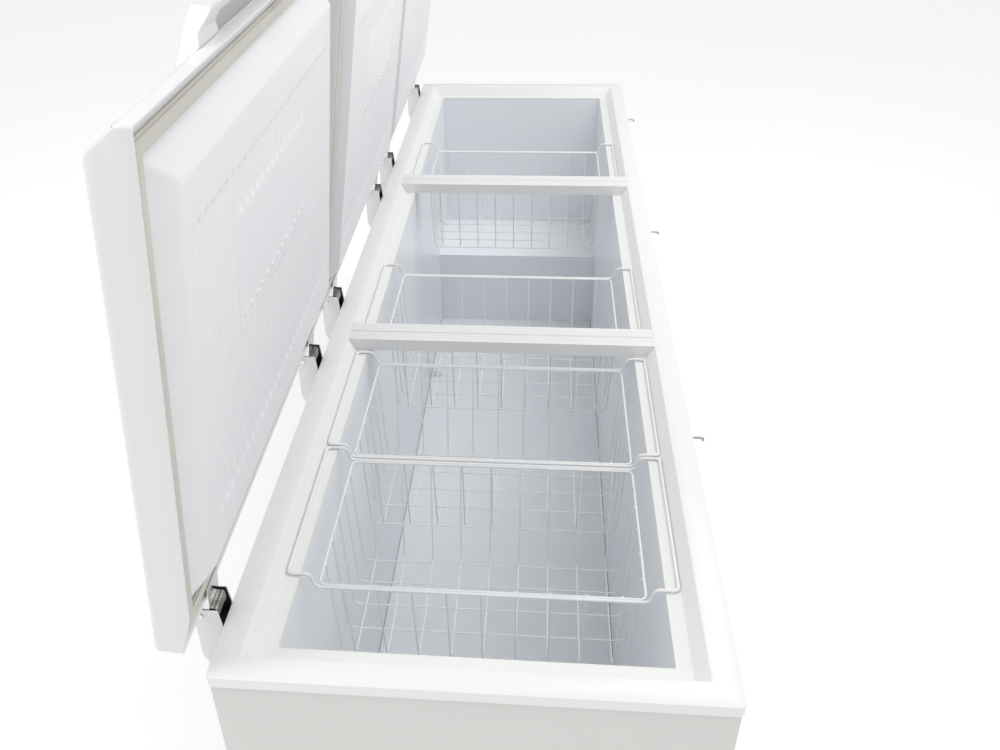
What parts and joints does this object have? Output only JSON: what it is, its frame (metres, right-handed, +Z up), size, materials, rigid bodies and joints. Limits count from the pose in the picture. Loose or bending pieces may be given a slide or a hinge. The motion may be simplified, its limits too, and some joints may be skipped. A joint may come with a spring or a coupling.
{
  "type": "chest freezer",
  "caption": "Long commercial chest freezer with hinged lids, lift-out wire baskets, a stepped liner and an end compressor compartment.",
  "frame": {"origin": "centre of the cabinet's footprint on the floor, under the feet", "axes": "+X along the length towards the compressor end, -Y is the front, +Z up"},
  "size_m": [2.607, 0.7844, 1.6716],
  "materials": {
    "cabinet_paint": "gloss white stove enamel",
    "frame_plastic": "gloss white",
    "liner_sheet": "satin pale grey coated sheet",
    "insulation": "sealed rigid foam",
    "lid_paint": "gloss white stove enamel",
    "lid_plastic": "satin white moulded plastic",
    "gasket_rubber": "soft cream, matte",
    "handle_plastic": "satin white",
    "chromed_steel": "bright",
    "hinge_paint": "gloss white",
    "bare_steel": "satin",
    "basket_wire": "smooth white plastic coating",
    "dark_plastic": "matte, fine grain",
    "grey_plastic": "matte, fine grain",
    "white_plastic": "satin",
    "lamp_plastic": "clear tinted lens",
    "black_enamel": "semi gloss black",
    "black_rubber": "matte",
    "copper_tube": "dull copper",
    "fin_aluminium": "mill finish",
    "galvanised": "galvanised"
  },
  "bodies": {
    "cabinet": {"front_panel": "cabinet_paint", "rear_panel": "cabinet_paint", "near_end_panel": "cabinet_paint", "far_end_panel": "cabinet_paint", "bottom_pan": "galvanised", "cabinet_foam": "insulation", "top_frame": "frame_plastic", "inner_liner": "liner_sheet", "divider_near": "frame_plastic", "divider_far": "frame_plastic", "feet": "dark_plastic", "foot_pads": "black_rubber", "drain_spout": "white_plastic", "evaporator_tube": "copper_tube", "compressor_mounts": "black_rubber", "compressor": "black_enamel", "terminal_cover": "dark_plastic", "condenser_fins": "fin_aluminium", "condenser_coil": "copper_tube", "fan_shroud": "galvanised", "fan_motor": "bare_steel", "filter_drier": "copper_tube", "refrigerant_lines": "copper_tube", "vent_grille": "grey_plastic", "control_panel": "grey_plastic", "indicator_lamps": "lamp_plastic", "thermostat_body": "dark_plastic", "cable_gland": "dark_plastic", "lock_keepers": "bare_steel", "hinge_housings": "hinge_paint", "hinge_pins": "chromed_steel", "hinge_springs": "bare_steel"},
    "fan": {"fan_blade": "dark_plastic"},
    "thermostat_dial": {"thermostat_knob": "white_plastic"},
    "drain_stopper": {"drain_plug": "white_plastic"},
    "lid_1": {"lid_1_shell": "lid_paint", "lid_1_liner": "lid_plastic", "lid_1_foam": "insulation", "lid_1_gasket": "gasket_rubber", "lid_1_handle": "handle_plastic", "lid_1_hinge_leaves": "chromed_steel"},
    "lid_1_lock": {"lid_1_lock": "chromed_steel"},
    "lid_2": {"lid_2_shell": "lid_paint", "lid_2_liner": "lid_plastic", "lid_2_foam": "insulation", "lid_2_gasket": "gasket_rubber", "lid_2_handle": "handle_plastic", "lid_2_hinge_leaves": "chromed_steel"},
    "lid_2_lock": {"lid_2_lock": "chromed_steel"},
    "lid_3": {"lid_3_shell": "lid_paint", "lid_3_liner": "lid_plastic", "lid_3_foam": "insulation", "lid_3_gasket": "gasket_rubber", "lid_3_handle": "handle_plastic", "lid_3_hinge_leaves": "chromed_steel"},
    "lid_3_lock": {"lid_3_lock": "chromed_steel"},
    "basket_1": {"basket_1": "basket_wire"},
    "basket_2": {"basket_2": "basket_wire"},
    "basket_3": {"basket_3": "basket_wire"},
    "basket_4": {"basket_4": "basket_wire"}
  },
  "joints": [
    {"name": "lid_1_hinge", "type": "hinge", "parent": "cabinet", "child": "lid_1", "pos_m": [0, 0.3815, 0.902], "axis": [-1, 0, 0], "range_deg": [-84.2, 3.8], "stiffness_Nm_per_rad": 20},
    {"name": "lid_1_lock_turn", "type": "hinge", "parent": "lid_1", "child": "lid_1_lock", "pos_m": [-0.71875, 0.29203, 1.64426], "axis": [0, 0.9949, 0.1011], "range_deg": [0, 90]},
    {"name": "lid_2_hinge", "type": "hinge", "parent": "cabinet", "child": "lid_2", "pos_m": [0, 0.3815, 0.902], "axis": [-1, 0, 0], "range_deg": [-81.5, 6.5], "stiffness_Nm_per_rad": 20},
    {"name": "lid_2_lock_turn", "type": "hinge", "parent": "lid_2", "child": "lid_2_lock", "pos_m": [0.1375, 0.25717, 1.63922], "axis": [0, 0.989, 0.1478], "range_deg": [0, 90]},
    {"name": "lid_3_hinge", "type": "hinge", "parent": "cabinet", "child": "lid_3", "pos_m": [0, 0.3815, 0.902], "axis": [-1, 0, 0], "range_deg": [-81.5, 6.5], "stiffness_Nm_per_rad": 20},
    {"name": "lid_3_lock_turn", "type": "hinge", "parent": "lid_3", "child": "lid_3_lock", "pos_m": [0.99625, 0.25717, 1.63922], "axis": [0, 0.989, 0.1478], "range_deg": [0, 90]},
    {"name": "fan_spin", "type": "hinge", "parent": "cabinet", "child": "fan", "pos_m": [1.15, -0.225, 0.195], "axis": [0, 1, 0], "continuous": true},
    {"name": "thermostat_turn", "type": "hinge", "parent": "cabinet", "child": "thermostat_dial", "pos_m": [1.15, -0.355, 0.285], "axis": [0, -1, 0], "range_deg": [0, 270]},
    {"name": "basket_1_lift", "type": "slide", "parent": "cabinet", "child": "basket_1", "axis": [0, 0, 1], "range_m": [0, 0.35]},
    {"name": "basket_2_lift", "type": "slide", "parent": "cabinet", "child": "basket_2", "axis": [0, 0, 1], "range_m": [0, 0.35]},
    {"name": "basket_3_lift", "type": "slide", "parent": "cabinet", "child": "basket_3", "axis": [0, 0, 1], "range_m": [0, 0.35]},
    {"name": "basket_4_lift", "type": "slide", "parent": "cabinet", "child": "basket_4", "axis": [0, 0, 1], "range_m": [0, 0.35]},
    {"name": "drain_stopper_lift", "type": "slide", "parent": "cabinet", "child": "drain_stopper", "axis": [0, 0, 1], "range_m": [0, 0.06]}
  ]
}
